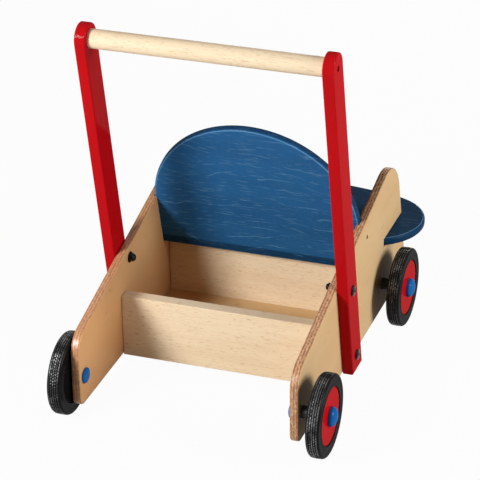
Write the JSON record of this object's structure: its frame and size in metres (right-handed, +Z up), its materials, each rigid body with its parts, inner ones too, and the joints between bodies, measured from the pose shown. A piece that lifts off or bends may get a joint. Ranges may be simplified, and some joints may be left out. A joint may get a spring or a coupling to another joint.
{
  "type": "baby push walker",
  "caption": "Wooden push-along walker wagon with a handle bar on two arms, a storage box, a seat with a round-topped backrest and rubber-tyred wheels.",
  "frame": {"origin": "on the ground, under the middle of the walker's length and width", "axes": "+Z up, +Y the way it is pushed (the seat is at the front), +X the right side"},
  "size_m": [0.3986, 0.5798, 0.504],
  "materials": {
    "birch_plywood": "clear matt lacquer on birch plywood",
    "beech": "clear matt lacquer on solid beech",
    "blue_plywood": "blue stain with the grain showing, satin lacquer",
    "red_lacquer": "opaque glossy red lacquer on wood",
    "black_metal": "black, satin",
    "steel": "dull zinc plate",
    "rubber": "moulded rubber with a ribbed tread",
    "blue_plastic": "glossy moulded plastic",
    "black_plastic": "moulded plastic"
  },
  "bodies": {
    "wagon": {"arm_bolt_lower_left": "black_metal", "arm_bolt_lower_right": "black_metal", "arm_bolt_upper_left": "black_metal", "arm_bolt_upper_right": "black_metal", "arm_left": "red_lacquer", "arm_nut_lower_left": "black_metal", "arm_nut_lower_right": "black_metal", "arm_nut_upper_left": "black_metal", "arm_nut_upper_right": "black_metal", "arm_right": "red_lacquer", "axle_front_left": "steel", "axle_front_right": "steel", "axle_rear_left": "steel", "axle_rear_right": "steel", "backrest": "blue_plywood", "backrest_screw_left": "steel", "backrest_screw_right": "steel", "box_floor": "birch_plywood", "front_board": "beech", "front_board_dowel_lower_left": "beech", "front_board_dowel_lower_right": "beech", "front_board_dowel_upper_left": "beech", "front_board_dowel_upper_right": "beech", "handle_bar": "beech", "handle_screw_left": "steel", "handle_screw_right": "steel", "inner_cap_front_left": "blue_plastic", "inner_cap_front_right": "blue_plastic", "inner_cap_rear_left": "blue_plastic", "inner_cap_rear_right": "blue_plastic", "outer_cap_front_left": "blue_plastic", "outer_cap_front_right": "blue_plastic", "outer_cap_rear_left": "blue_plastic", "outer_cap_rear_right": "blue_plastic", "rear_board": "beech", "rear_board_dowel_lower_left": "beech", "rear_board_dowel_lower_right": "beech", "rear_board_dowel_upper_left": "beech", "rear_board_dowel_upper_right": "beech", "seat": "blue_plywood", "seat_dowel_left": "beech", "seat_dowel_middle": "beech", "seat_dowel_right": "beech", "side_panel_left": "birch_plywood", "side_panel_right": "birch_plywood", "wheel_spacer_front_left": "black_plastic", "wheel_spacer_front_right": "black_plastic", "wheel_spacer_rear_left": "black_plastic", "wheel_spacer_rear_right": "black_plastic"},
    "wheel_front_left": {"wheel_disc_front_left": "red_lacquer", "tyre_front_left": "rubber"},
    "wheel_front_right": {"wheel_disc_front_right": "red_lacquer", "tyre_front_right": "rubber"},
    "wheel_rear_left": {"wheel_disc_rear_left": "red_lacquer", "tyre_rear_left": "rubber"},
    "wheel_rear_right": {"wheel_disc_rear_right": "red_lacquer", "tyre_rear_right": "rubber"}
  },
  "joints": [
    {"name": "front_left_wheel_spin", "type": "hinge", "parent": "wagon", "child": "wheel_front_left", "pos_m": [-0.182, 0.12587, 0.05474], "axis": [1, 0, 0], "continuous": true},
    {"name": "front_right_wheel_spin", "type": "hinge", "parent": "wagon", "child": "wheel_front_right", "pos_m": [0.182, 0.12587, 0.05474], "axis": [1, 0, 0], "continuous": true},
    {"name": "rear_left_wheel_spin", "type": "hinge", "parent": "wagon", "child": "wheel_rear_left", "pos_m": [-0.163, -0.23513, 0.05474], "axis": [1, 0, 0], "continuous": true},
    {"name": "rear_right_wheel_spin", "type": "hinge", "parent": "wagon", "child": "wheel_rear_right", "pos_m": [0.182, -0.23513, 0.05474], "axis": [1, 0, 0], "continuous": true}
  ]
}
